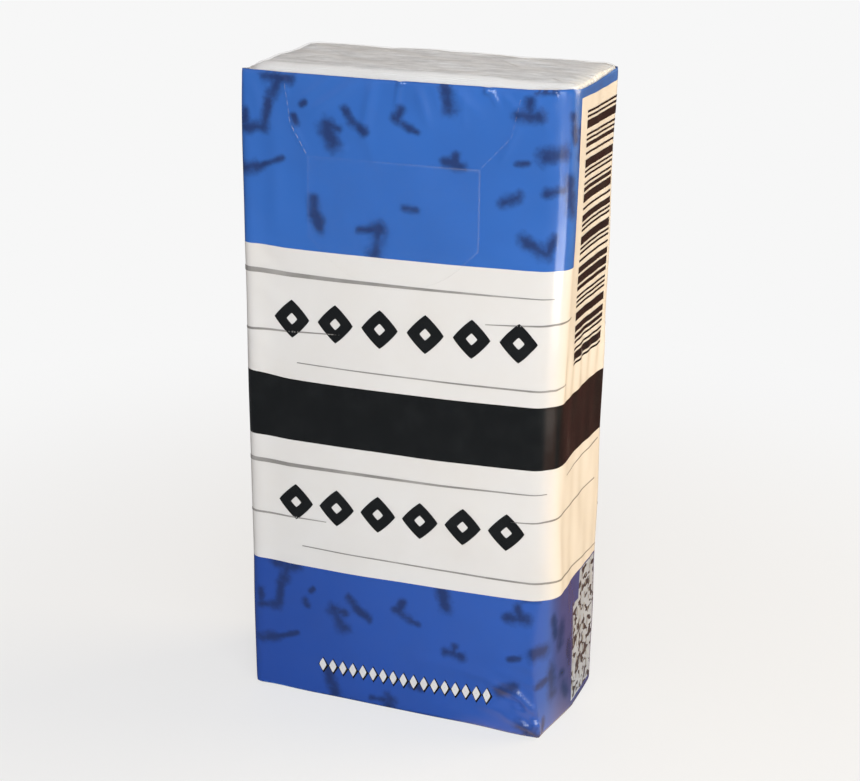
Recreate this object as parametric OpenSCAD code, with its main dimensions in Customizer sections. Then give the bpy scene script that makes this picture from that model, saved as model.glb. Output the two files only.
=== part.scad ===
// Pocket pack of folded tissues: a printed film wrapper with folded ends, a clear
// reseal label over its tear line, and a stack of separately folded tissues.
// Millimetres. The pack stands on its lower end: +Z is up and -Y is the front.
// The origin is the middle of the bottom.

/* [Pack] */
// Width of the pack across its front
pack_w = 54; // [46:1:64]
// Depth of the pack, from the front film to the back film
pack_d = 24; // [20:1:32]
// Height of the standing pack
pack_h = 108; // [104:1:120]
// Radius of the four upright corners
corner_r = 3; // [2:0.5:4]

/* [Wrapper film] */
// Thickness of the film
film_t = 0.2; // [0.1:0.05:0.3]
// Width of the lap seam down the back
seam_w = 9; // [5:1:14]
// Distance from the tip of an end flap to the edge across from it
flap_margin = 5; // [3:1:8]
// How far a tucked gusset reaches in past the crossing of the flaps' slanted edges
gusset_overlap = 2; // [1:0.5:3]
// How far a tucked gusset draws in at its tip
gusset_taper = 3; // [1:0.5:5]
// Lean of the slanted edges of the flaps
fold_angle = 45; // [35:1:45]

/* [Tear line] */
// Length of one cut in the tear line
cut_len = 1; // [0.6:0.1:1.6]
// Uncut bridge between two cuts
bridge_len = 0.7; // [0.4:0.1:1.2]
// Width of a cut
cut_w = 0.15; // [0.1:0.05:0.25]
// Half the width of the tear line where it meets the top edge
tear_half_w = 19.5; // [17:0.5:20]
// Height at which the tear line turns upright, below the top
tear_bend_drop = 8; // [6:0.5:10]
// How far the upright stretch leans out on its way to the top edge
tear_lean = 1; // [0:0.5:2]

/* [Reseal label] */
// Thickness of the label
label_t = 0.15; // [0.1:0.05:0.3]
// Width of the label
label_w = 28.6; // [22:0.2:32]
// Place of the label's middle, to the right of the pack's middle
label_x = -1.6; // [-3:0.2:3]
// Distance from the pack's top to the label's top edge
label_drop = 13; // [11:0.5:16]
// Height of the label, down to the tip of its rounded end
label_h = 20.2; // [16:0.2:26]
// Depth of the rounded end
label_bow = 5.2; // [3:0.2:6]
// Width of the cut corners at the sides of the rounded end
label_chamfer = 2.2; // [1:0.2:4]

/* [Tissues] */
// Number of folded tissues
tissue_count = 15; // [8:1:18]
// Gap between two neighbouring tissues
tissue_gap = 0.08; // [0.04:0.02:0.16]
// Gap between two folded layers of a tissue
layer_gap = 0.04; // [0.02:0.01:0.06]
// Clearance between the stack and the film around it
stack_clear = 0.1; // [0.05:0.05:0.3]

/* [Printed fields] */
// Thickness of one layer of ink
ink_t = 0.05; // [0.03:0.01:0.1]
// Height of the lower blue field
lower_blue_h = 24.8; // [20:0.2:28]
// Height of the white band below the black one
lower_white_h = 22.7; // [20:0.1:24]
// Height of the black band
black_h = 10.5; // [6:0.5:12]
// Height of the white band above the black one
upper_white_h = 22; // [20:0.5:23]
// Distance of the side panels from the pack's front
panel_inset = 4; // [3.5:0.5:5]
// Blue strip left above the bar panel
panel_top_strip = 1.8; // [1:0.2:3]

/* [Notes panel] */
// Width of the notes panel on the right side
notes_w = 10; // [6:0.5:11]
// Width of its step, which starts lower than the rest
notes_step_w = 3; // [2:0.5:4]
// How far the step starts below the top of the lower blue field
notes_step_drop = 5.8; // [3:0.2:10]
// Distance of the notes panel from the pack's foot
notes_foot = 1.6; // [1:0.2:3]
// Distance between two columns of dashes
dash_pitch = 1.05; // [0.9:0.05:1.5]
// Distance between two rows of dashes
dash_row_pitch = 4.2; // [4:0.1:6]
// Thickness of a dash
dash_t = 0.3; // [0.2:0.05:0.4]

/* [Rules] */
// Width of a bold rule at its thick end
rule_bold = 1; // [0.6:0.1:1.2]
// Width of a thin rule
rule_thin = 0.35; // [0.2:0.05:0.5]
// Width of a rule where it fades out
rule_faint = 0.12; // [0.08:0.02:0.2]
// Height of a thin rule above the foot of its white band
foot_rule_rise = 2.4; // [2:0.1:3]
// Height of the short left rule above the foot of its white band
left_rule_rise = 7.6; // [7:0.1:9]
// Distance of the short right rule below the top of its white band
right_rule_drop = 8.6; // [8:0.1:10]
// Distance of a bold rule below the top of its white band
bold_rule_drop = 4.5; // [4:0.1:5]
// Rise of the rules from the left to the right
rule_rise = 0.4; // [0:0.1:0.6]
// Length of the short left rule
left_rule_len = 13.5; // [8:0.5:18]
// Length of the short right rule
right_rule_len = 9.5; // [6:0.5:14]
// Distance of a foot rule's left end from the flat's left edge
foot_rule_inset = 6; // [0:0.5:12]

/* [Ornaments and bars] */
// Ornaments in a row
ornament_count = 6; // [4:1:6]
// Distance between two ornaments
ornament_pitch = 7.4; // [7:0.1:7.6]
// Width of an ornament
ornament_w = 6.2; // [4:0.2:6.6]
// Height of an ornament
ornament_h = 6.4; // [4:0.2:8]
// Size of an ornament's pierced middle, as a share of the ornament
ornament_pierce = 0.3; // [0.1:0.05:0.5]
// Distance of the upper row below the middle of its band
ornament_drop = 0.8; // [0:0.1:1]
// Bare margin round an ornament
ornament_margin = 0.4; // [0.2:0.1:0.5]
// Bars on the side panel
bar_count = 40; // [16:1:44]
// Width of the thinnest bar
bar_unit = 0.4; // [0.3:0.02:0.4]
// Distance of the bars from the front edge of their panel
bar_margin = 2; // [1:0.5:3]
// Height of the first bar above the black band
bar_rise = 4.5; // [3.5:0.5:6]
// Bars and dashes stay this far inside the flat of the right side
print_margin = 0.6; // [0.4:0.1:1]

/* [Hidden] */
$fn = 64;

function two_digits(n) = str(n < 10 ? "0" : "", n);

TISSUES = [for (i = [1:tissue_count]) str("tissue_", two_digits(i))];

// What stands out in front of the film and behind it, and the shift that keeps the
// whole in the middle
front_build = 2 * ink_t + label_t;
back_build = film_t + ink_t;
centre_y = (front_build - back_build) / 2;

half_w = pack_w / 2;
half_d = pack_d / 2;
flat_half_w = half_w - corner_r;
flat_half_d = half_d - corner_r;

// An end holds three layers: the outer flap, the inner flap and the side gussets
outer_flap_z = 0;
inner_flap_z = film_t;
gusset_z = 2 * film_t;
cavity_z = 3 * film_t;
cavity_h = pack_h - 2 * cavity_z;
flap_reach = pack_d - flap_margin;
gusset_reach = half_d * tan(fold_angle) + gusset_overlap;

// Heights of the printed fields
field_low = gusset_z;
field_top = pack_h - gusset_z;
white_1 = lower_blue_h;
black_1 = white_1 + lower_white_h;
white_2 = black_1 + black_h;
blue_2 = white_2 + upper_white_h;

// The bar panel and the notes panel on the right side
panel_y = -half_d + panel_inset;
bar_panel_top = pack_h - panel_top_strip;
notes_y = flat_half_d - notes_w;
notes_high_y = notes_y + notes_step_w;
notes_step_z = lower_blue_h - notes_step_drop;

// The stack of tissues and one tissue in it
inner_half_w = half_w - film_t - stack_clear;
inner_half_d = half_d - film_t - stack_clear;
inner_r = corner_r - film_t - stack_clear;
tissue_pitch = 2 * inner_half_d / tissue_count;
tissue_t = tissue_pitch - tissue_gap;
LAYERS = 4;
layer_t = (tissue_t - (LAYERS - 1) * layer_gap) / LAYERS;
layer_pitch = layer_t + layer_gap;
tissue_h = cavity_h - 2 * stack_clear;

label_top = pack_h - label_drop;
label_bottom = label_top - label_h;
label_half_w = label_w / 2;
// The rounded end is an arc through the label's lower corners and its tip
label_bow_half_w = label_half_w - label_chamfer;
label_bow_r = (label_bow_half_w * label_bow_half_w + label_bow * label_bow) / (2 * label_bow);

bar_y = panel_y + bar_margin;
bar_reach = flat_half_d - print_margin - bar_y;
bar_first_z = white_2 + bar_rise;
dash_first_z = notes_foot + 2 * print_margin;
dash_columns = floor((notes_w - notes_step_w - print_margin) / dash_pitch);
dash_rows = floor((lower_blue_h - dash_first_z) / dash_row_pitch);

// Plan of the pack, grown on all sides
module outline(grow = 0) {
    w = half_w + grow;
    d = half_d + grow;
    r = corner_r + grow;
    square([2 * w, 2 * (d - r)], center = true);
    square([2 * (w - r), 2 * d], center = true);
    for (x = [-1, 1], y = [-1, 1])
        translate([x * (w - r), y * (d - r)])
            circle(r);
}

// Plan of the film's outside, with the lap seam on the back
module film_plan(grow = 0) {
    outline(grow);
    translate([-seam_w / 2 - grow, 0])
        square([seam_w + 2 * grow, half_d + film_t + grow]);
}

// A strip around the pack between two heights, one layer of ink thick
module ink_ring(z0, z1) {
    translate([0, 0, z0])
        linear_extrude(z1 - z0)
            difference() {
                film_plan(ink_t);
                film_plan(0);
            }
}

// Plan of an end flap, from the edge at -Y inwards
module flap_plan() {
    slant = flap_reach * tan(fold_angle);
    intersection() {
        outline(0);
        polygon([
            [-half_w, -half_d], [half_w, -half_d],
            [half_w - slant, -half_d + flap_reach], [-half_w + slant, -half_d + flap_reach]
        ]);
    }
}

// Plan of a tucked gusset, from the edge at +X inwards
module gusset_plan() {
    tip = half_d - film_t - gusset_taper;
    intersection() {
        outline(0);
        polygon([
            [half_w, -half_d], [half_w, half_d],
            [half_w - gusset_reach, tip], [half_w - gusset_reach, -tip]
        ]);
    }
}

// The folded film under the lower end: two long flaps over two gussets
module end_folds() {
    translate([0, 0, outer_flap_z])
        linear_extrude(film_t)
            flap_plan();
    // The front wall passes the inner flap on its way down
    translate([0, 0, inner_flap_z])
        linear_extrude(film_t)
            intersection() {
                difference() {
                    outline(0);
                    outline(-film_t);
                }
                translate([-half_w, -half_d])
                    square([pack_w, corner_r]);
            }
    translate([0, 0, inner_flap_z])
        linear_extrude(film_t)
            mirror([0, 1])
                flap_plan();
    for (side = [0, 1])
        mirror([side, 0, 0])
            translate([0, 0, gusset_z])
                linear_extrude(film_t)
                    gusset_plan();
}

// Cuts from a to b, as points (x, z) on the front
module cuts_along(a, b) {
    run = norm(b - a);
    pitch = cut_len + bridge_len;
    count = floor(run / pitch);
    for (i = [0:count - 1]) {
        p = a + (b - a) * ((i + 0.5) * pitch / run);
        translate([p.x, -half_d, p.y])
            rotate([0, -atan2(b.y - a.y, b.x - a.x), 0])
                cube([cut_len, 4 * film_t, cut_w], center = true);
    }
}

// The tear line rises from the label's upper corners to the top edge
module tear_line() {
    for (side = [-1, 1]) {
        foot = [label_x + side * label_half_w, label_top + cut_w * 3];
        bend = [side * (tear_half_w - tear_lean), pack_h - tear_bend_drop];
        top = [side * tear_half_w, field_top];
        cuts_along(foot, bend);
        cuts_along(bend, top);
    }
}

module wrapper_film() {
    color([0.86, 0.89, 0.92, 0.45])
        translate([0, centre_y, 0])
            difference() {
                union() {
                    difference() {
                        translate([0, 0, field_low])
                            linear_extrude(field_top - field_low)
                                film_plan(0);
                        translate([0, 0, field_low - film_t])
                            linear_extrude(field_top - field_low + 2 * film_t)
                                outline(-film_t);
                    }
                    end_folds();
                    translate([0, 0, pack_h])
                        mirror([0, 0, 1])
                            end_folds();
                }
                tear_line();
            }
}

// Region of the bar panel: it runs round the back right corner
module bar_panel_region() {
    translate([flat_half_w, panel_y, blue_2])
        cube([2 * corner_r, pack_d, bar_panel_top - blue_2]);
}

// Region of the notes panel: two columns of different height on the right side
module notes_panel_region() {
    translate([half_w - film_t, notes_high_y, notes_foot])
        cube([corner_r, flat_half_d - notes_high_y, lower_blue_h - notes_foot]);
    translate([half_w - film_t, notes_y, notes_foot])
        cube([corner_r, notes_w, notes_step_z - notes_foot]);
}

module panels() {
    intersection() {
        ink_ring(field_low, field_top);
        union() {
            bar_panel_region();
            notes_panel_region();
        }
    }
}

module ink_white() {
    color([0.93, 0.92, 0.9])
        translate([0, centre_y, 0]) {
            ink_ring(white_1, black_1);
            ink_ring(white_2, blue_2);
            panels();
        }
}

module ink_blue() {
    color([0.2, 0.37, 0.68])
        translate([0, centre_y, 0])
            difference() {
                union() {
                    ink_ring(field_low, white_1);
                    ink_ring(blue_2, field_top);
                }
                bar_panel_region();
                notes_panel_region();
                tear_line();
            }
}

// Puts a drawing in (x, z) on the front, as a second layer of ink
module on_front() {
    translate([0, -half_d - ink_t, 0])
        rotate([90, 0, 0])
            linear_extrude(ink_t)
                children();
}

// The same on the back, which leaves the lap seam bare
module on_back() {
    bare_w = seam_w + 4 * print_margin;
    rotate([0, 0, 180])
        on_front()
            difference() {
                children();
                translate([-bare_w / 2, 0])
                    square([bare_w, pack_h]);
            }
}

// The same on the right side, in (y, z)
module on_right() {
    rotate([0, 0, 90])
        translate([0, -half_w - ink_t, 0])
            rotate([90, 0, 0])
                linear_extrude(ink_t)
                    children();
}

// A blotch: an uneven blob of eight points, turned and stretched
function blotch_radius(a, turn) = 1 + 0.3 * sin(2 * a + turn) + 0.2 * cos(3 * a - 2 * turn);

module blotch(w, h, turn) {
    polygon([
        for (a = [0:45:315])
            [w / 2 * blotch_radius(a, turn) * cos(a), h / 2 * blotch_radius(a, turn) * sin(a)]
    ]);
}

// The mottling of a blue field: place from the field's middle and top, width, height and turn
FRONT_BLOTCHES = [
    [-24, 5.2, 3.4, 1.9, 20], [-20.9, 2.4, 1.5, 5, 60], [-17.6, 8, 1.6, 1.6, 0], [-12.4, 9, 2, 3, 40],
    [-8.6, 5.8, 2.6, 2.2, 100], [0.6, 7, 2.4, 2.2, 70], [7.4, 3, 2, 3.6, 30], [19.4, 4.6, 3, 2.4, 80],
    [8.4, 12.4, 2.6, 2, 10], [-23.4, 15.4, 2.6, 1.8, 150], [-14.4, 21.6, 1.7, 4.4, 120],
    [1, 20, 1.9, 1.3, 45], [17.2, 17, 2.8, 1.9, 75], [22.6, 10.4, 2, 2.6, 25], [22.2, 15.6, 2, 1.6, 90],
    [-4.8, 25.4, 2, 2.2, 15], [20.2, 23.6, 4, 2.2, 140]
];
SIDE_BLOTCHES = [[-6.6, 5.4, 1.8, 3.4, 40], [-4.6, 15.6, 2, 4.2, 80], [-7.2, 22.4, 1.6, 2.4, 20]];

// Blotches of one blue field, kept inside the flat of the face and the field
module blotches(marks, half_flat, z0, z1) {
    intersection() {
        translate([-half_flat, z0])
            square([2 * half_flat, z1 - z0]);
        union() {
            for (m = marks)
                translate([m[0], z1 - m[1]])
                    blotch(m[2], m[3], m[4]);
        }
    }
}

module lower_blotches(marks, half_flat) {
    blotches(marks, half_flat, field_low, white_1);
}

module upper_blotches(marks, half_flat) {
    blotches(marks, half_flat, blue_2, field_top);
}

module ink_dark_blue() {
    color([0.15, 0.24, 0.47])
        translate([0, centre_y, 0])
            difference() {
                union() {
                    on_front() {
                        lower_blotches(FRONT_BLOTCHES, flat_half_w);
                        upper_blotches(FRONT_BLOTCHES, flat_half_w);
                    }
                    on_back() {
                        lower_blotches(FRONT_BLOTCHES, flat_half_w);
                        upper_blotches(FRONT_BLOTCHES, flat_half_w);
                    }
                    on_right()
                        lower_blotches(SIDE_BLOTCHES, flat_half_d);
                    mirror([1, 0, 0])
                        on_right() {
                            lower_blotches(SIDE_BLOTCHES, flat_half_d);
                            upper_blotches(SIDE_BLOTCHES, flat_half_d);
                        }
                }
                tear_line();
            }
}

// One ornament: a lozenge with a pierced middle
module lozenge(w, h) {
    corners = [[-w / 2, 0], [0, -h / 2], [w / 2, 0], [0, h / 2]];
    difference() {
        polygon(corners);
        polygon(corners * ornament_pierce);
    }
}

// Puts a drawing at each place of a row of ornaments across the front
module ornament_row(z) {
    for (i = [0:ornament_count - 1])
        translate([(i - (ornament_count - 1) / 2) * ornament_pitch, z])
            children();
}

module both_rows() {
    ornament_row(white_1 + lower_white_h / 2)
        children();
    ornament_row(white_2 + upper_white_h / 2 - ornament_drop)
        children();
}

// Width of bar i, and the distance from the first bar to bar i
function bar_w(i) = bar_unit * (1 + (i * i + 2 * i) % 5 % 3);
function bar_gap(i) = bar_unit * (1 + (3 * i + i * i) % 7 % 2);
function bar_place(i) = i == 0 ? 0 : bar_place(i - 1) + bar_w(i - 1) + bar_gap(i - 1);

module bars() {
    for (i = [0:bar_count - 1])
        if (bar_first_z + bar_place(i) + bar_w(i) < bar_panel_top - print_margin)
            translate([bar_y, bar_first_z + bar_place(i)])
                square([bar_reach, bar_w(i)]);
}

module ink_black() {
    color([0.13, 0.13, 0.13])
        translate([0, centre_y, 0]) {
            ink_ring(black_1, white_2);
            on_front()
                both_rows()
                    lozenge(ornament_w, ornament_h);
            on_right()
                bars();
        }
}

// A rule that runs from a to b and changes its width on the way
module rule(a, b, w_a, w_b) {
    polygon([
        [a.x, a.y - w_a / 2], [b.x, b.y - w_b / 2],
        [b.x, b.y + w_b / 2], [a.x, a.y + w_a / 2]
    ]);
}

// The rules of one white band on the front: a bold one that tapers off, two short
// ones that come in from the corners, and a thin one near the band's foot
module front_rules(z0, z1) {
    left = -flat_half_w;
    right = flat_half_w;
    left_end = left + left_rule_len;
    right_start = right - right_rule_len;
    foot_start = left + foot_rule_inset;
    bold_z = z1 - bold_rule_drop;
    left_z = z0 + left_rule_rise;
    right_z = z1 - right_rule_drop;
    foot_z = z0 + foot_rule_rise;
    rule([left, bold_z - rule_rise], [right, bold_z], rule_bold, rule_faint);
    rule([left, left_z], [left_end, left_z + rule_rise], rule_thin, rule_faint);
    rule([right_start, right_z - rule_rise], [right, right_z], rule_faint, rule_thin);
    rule([foot_start, foot_z + rule_rise], [right, foot_z], rule_faint, rule_thin);
}

// Where the rules pass round onto a side: how far the lower and the upper one reach
module side_rules(z0, z1, lower_reach, upper_reach) {
    foot_z = z0 + foot_rule_rise;
    right_z = z1 - right_rule_drop;
    rule([-flat_half_d, foot_z], [lower_reach, foot_z], rule_thin, rule_thin);
    rule([-flat_half_d, right_z], [upper_reach, right_z], rule_thin, rule_thin);
}

// Dashes that stand for the small print of the notes panel
module notes_dashes() {
    for (c = [0:dash_columns - 1], d = [0:dash_rows - 1]) {
        share = 0.5 + (c * 2 + d) % 3 * 0.17;
        translate([notes_high_y + print_margin + c * dash_pitch, dash_first_z + d * dash_row_pitch])
            square([dash_t, share * dash_row_pitch]);
    }
}

module ink_grey() {
    bare_w = ornament_w + 2 * ornament_margin;
    bare_h = ornament_h + 2 * ornament_margin;
    color([0.45, 0.44, 0.43])
        translate([0, centre_y, 0]) {
            on_front()
                difference() {
                    union() {
                        front_rules(white_1, black_1);
                        front_rules(white_2, blue_2);
                    }
                    both_rows()
                        square([bare_w, bare_h], center = true);
                }
            on_back() {
                front_rules(white_1, black_1);
                front_rules(white_2, blue_2);
            }
            on_right() {
                side_rules(white_1, black_1, flat_half_d, flat_half_d);
                side_rules(white_2, blue_2, flat_half_d, bar_y - print_margin);
                notes_dashes();
            }
            mirror([1, 0, 0])
                on_right() {
                    side_rules(white_1, black_1, flat_half_d, flat_half_d);
                    side_rules(white_2, blue_2, flat_half_d, flat_half_d);
                }
        }
}

// Outline of the label: straight sides, cut corners and a rounded lower end
module label_plan() {
    corner_z = label_bottom + label_bow;
    foot_z = label_bottom - 1;
    difference() {
        polygon([
            [-label_half_w, label_top], [label_half_w, label_top],
            [label_half_w, corner_z + label_chamfer], [label_bow_half_w, corner_z],
            [label_bow_half_w, foot_z], [-label_bow_half_w, foot_z],
            [-label_bow_half_w, corner_z], [-label_half_w, corner_z + label_chamfer]
        ]);
        difference() {
            translate([-label_half_w, foot_z - 1])
                square([label_w, corner_z - foot_z + 1]);
            translate([0, label_bottom + label_bow_r])
                circle(label_bow_r);
        }
    }
}

module reseal_label() {
    color([0.7, 0.78, 0.9, 0.5])
        translate([label_x, centre_y - half_d - 2 * ink_t, 0])
            rotate([90, 0, 0])
                linear_extrude(label_t)
                    label_plan();
}

// A bend that joins layers a and b of a tissue at x, opening towards -X
module bend(x, a, b) {
    outer = ((b - a) * layer_pitch + layer_t) / 2;
    translate([x, ((a + b) / 2) * layer_pitch + layer_t / 2])
        intersection() {
            difference() {
                circle(outer);
                circle(outer - layer_t);
            }
            translate([0, -outer])
                square([outer, 2 * outer]);
        }
}

// Section of a tissue: a strip folded in half and in half again. Layer 0 faces the front.
module tissue_section(w) {
    outer_bend = tissue_t / 2;
    inner_bend = layer_pitch / 2 + layer_t / 2;
    right = w / 2 - outer_bend;
    left = -w / 2 + inner_bend;
    for (i = [0:LAYERS - 1])
        translate([0, i * layer_pitch]) {
            square([right, layer_t]);
            translate([left, 0])
                square([-left, layer_t]);
        }
    bend(right, 0, 3);
    bend(right, 1, 2);
    mirror([1, 0])
        bend(-left, 2, 3);
}

// Half the width that the rounded corners leave for a tissue with its middle at y
function tissue_half_w(y) =
    let (
        bend_r = tissue_t / 2,
        past = max(0, abs(y) - (inner_half_d - inner_r)),
        room = inner_r - bend_r
    )
    inner_half_w - inner_r + bend_r + sqrt(max(0, room * room - past * past));

module tissue(i) {
    y = -inner_half_d + (i - 0.5) * tissue_pitch;
    color([0.93, 0.92, 0.91])
        translate([0, centre_y + y - tissue_t / 2, cavity_z + stack_clear])
            linear_extrude(tissue_h)
                tissue_section(2 * tissue_half_w(y));
}

wrapper_film();
ink_white();
ink_blue();
ink_dark_blue();
ink_black();
ink_grey();
reseal_label();
for (i = [1:tissue_count])
    tissue(i);
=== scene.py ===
"""Dresses the pocket tissue pack: printed film wrapper, folded clear ends, reseal label and tissues.

Lengths in the formulas are millimetres. A point of the wrapper is named by s, the way round the
pack from the middle of the front (27 is the front right corner, 39 the middle of the right side,
78 the middle of the back), and by v, the height that the print gives it.
"""

import bmesh
import bpy
import numpy as np
from mathutils import Matrix, Vector


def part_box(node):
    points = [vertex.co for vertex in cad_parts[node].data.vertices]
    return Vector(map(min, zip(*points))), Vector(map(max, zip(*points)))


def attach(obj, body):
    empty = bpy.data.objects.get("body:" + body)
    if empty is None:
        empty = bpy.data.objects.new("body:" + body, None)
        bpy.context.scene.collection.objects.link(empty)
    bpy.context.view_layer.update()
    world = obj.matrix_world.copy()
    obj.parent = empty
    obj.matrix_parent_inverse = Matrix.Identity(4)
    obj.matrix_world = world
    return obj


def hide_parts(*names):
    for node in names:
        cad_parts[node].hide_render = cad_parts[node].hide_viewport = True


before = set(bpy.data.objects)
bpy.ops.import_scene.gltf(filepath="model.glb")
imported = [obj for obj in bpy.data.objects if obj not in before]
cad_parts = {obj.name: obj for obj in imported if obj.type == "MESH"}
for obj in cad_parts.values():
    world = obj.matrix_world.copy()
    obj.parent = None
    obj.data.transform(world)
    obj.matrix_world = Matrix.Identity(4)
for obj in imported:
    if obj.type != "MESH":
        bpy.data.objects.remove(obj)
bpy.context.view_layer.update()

bl_info = {
    "name": "Pocket tissue pack",
    "version": (1, 0, 0),
    "blender": (4, 5, 0),
    "location": "View3D > Sidebar > Tissue pack",
    "description": "Builds the looks of a standing pocket pack of tissues",
    "category": "Object",
}

MM = 0.001
BODY = "root"
FILM_HIGH = np.array(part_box("wrapper_film")[1]) / MM
LABEL_LOW, LABEL_HIGH = (np.array(corner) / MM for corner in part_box("reseal_label"))
TISSUE_NODES = sorted(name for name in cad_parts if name.startswith("tissue_"))

# The four upright corners, as places on the way round: front right, back right, back left, front left
HALF_W = float(FILM_HIGH[0])
HALF_D = 12.0
TOP = float(FILM_HIGH[2])
CORNER_S = np.array([HALF_W, HALF_W + 2 * HALF_D, 3 * HALF_W + 2 * HALF_D, 3 * HALF_W + 4 * HALF_D])
ROUND = 4 * (HALF_W + HALF_D)
SEAM_S = 2 * (HALF_W + HALF_D)


def smooth(low, high, x):
    """An even step from 0 at low to 1 at high: 3t^2 - 2t^3."""
    t = np.clip((x - low) / (high - low), 0, 1)
    return t * t * (3 - 2 * t)


def bump(x, middle, width):
    """A bell of height 1: exp of minus the squared distance in widths."""
    return np.exp(-(((x - middle) / width) ** 2))


def arch(x, middle, half):
    """An arch of height 1 and of a given half width: one less the squared distance in half widths."""
    return np.clip(1 - ((x - middle) / half) ** 2, 0, 1)


def quarter(t):
    """A quarter round from 0 to 1: 1 - sqrt(1 - t^2)."""
    return 1 - np.sqrt(1 - np.clip(t, 0, 1) ** 2)


def ripple(a, b, waves):
    """Sum of sines over two directions. Each wave is its height, its two lengths and its start."""
    total = np.zeros(np.broadcast(a, b).shape)
    for height, length_a, length_b, start in waves:
        total = total + height * np.sin(2 * np.pi * (a / length_a + b / length_b) + start)
    return total


def once_round(s):
    """The same place, counted from the front left corner at -27 up to 129."""
    return (s + HALF_W) % ROUND - HALF_W


def at_front_left(s, width, width_behind):
    """A bell over the front left corner, where the way round starts and ends."""
    return bump(s, -HALF_W, width) + bump(s, ROUND - HALF_W, width_behind)


# Section of the pack

# Reach of each corner's curve before and after the corner, at the heights in CORNER_Z. The front
# right corner is wide half-way up, and pinched flat at the foot.
CORNER_Z = [0, 12, 25, 58, 80, 108]
REACH_BEFORE = [[2.3, 3.6, 5.2, 5.6, 4.9, 4.6], [1.8, 1.6, 1.5, 1.4, 1.3, 1.2],
                [2.4, 2.6, 2.8, 2.8, 2.4, 2.2], [1.4, 1.8, 2.2, 2.2, 1.5, 1.0]]
REACH_AFTER = [[12.5, 7.5, 4.8, 3.8, 3.6, 4.2], [1.8, 1.6, 1.5, 1.4, 1.3, 1.2],
               [2.4, 2.6, 2.8, 2.8, 2.4, 2.2], [1.4, 1.9, 2.4, 2.4, 1.4, 0.9]]
PULL = [[0.1, 0.55, 1, 1, 1, 1], [1] * 6, [1] * 6, [1] * 6]
# How far the front right corner is drawn in to the left, by height
DRAWN_Z = [0, 25, 36, 47, 58, 70, 84, 108]
DRAWN = [0, 0.1, 0.6, 0.9, 0.9, 0.5, 0.1, 0]


def sharp_section(s):
    """The rectangle that the pack is folded to, before its corners are rounded."""
    s = once_round(s)
    front, right, back = s <= CORNER_S[0], s <= CORNER_S[1], s <= CORNER_S[2]
    x = np.select([front, right, back], [s, HALF_W + 0 * s, SEAM_S - s], -HALF_W)
    y = np.select([front, right, back], [-HALF_D + 0 * s, s - HALF_W - HALF_D, HALF_D + 0 * s],
                  3 * HALF_W + 3 * HALF_D - s)
    return np.stack([x, y], -1)


def round_section(s, z):
    """The rectangle with its corners rounded: near a corner the point slides along the curve
    (1-t)^2 A + 2t(1-t) C + t^2 B, from A before the corner to B after it, where C is the corner
    itself, or nearer to the middle of AB where the corner is pinched. The right side then leans from
    the drawn-in front corner to the back one."""
    s = once_round(s)
    place = sharp_section(s)
    for k, corner in enumerate(CORNER_S):
        before, after, pull = (np.interp(z, CORNER_Z, table[k]) for table in (REACH_BEFORE, REACH_AFTER, PULL))
        way = (s - corner + ROUND / 2) % ROUND - ROUND / 2
        t = np.clip((way + before) / (before + after), 0, 1)[..., None]
        a, b = sharp_section(corner - before), sharp_section(corner + after)
        middle = (a + b) / 2
        c = middle + pull[..., None] * (sharp_section(np.array(float(corner))) - middle)
        curve = (1 - t) ** 2 * a + 2 * t * (1 - t) * c + t ** 2 * b
        place = np.where((way > -before)[..., None] & (way < after)[..., None], curve, place)
    drawn = np.interp(z, DRAWN_Z, DRAWN) * smooth(20, HALF_W, s)
    drawn = drawn * (1 - np.clip((s - HALF_W) / (2 * HALF_D), 0, 1))
    return place - np.stack([drawn, 0 * drawn], -1)


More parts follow.
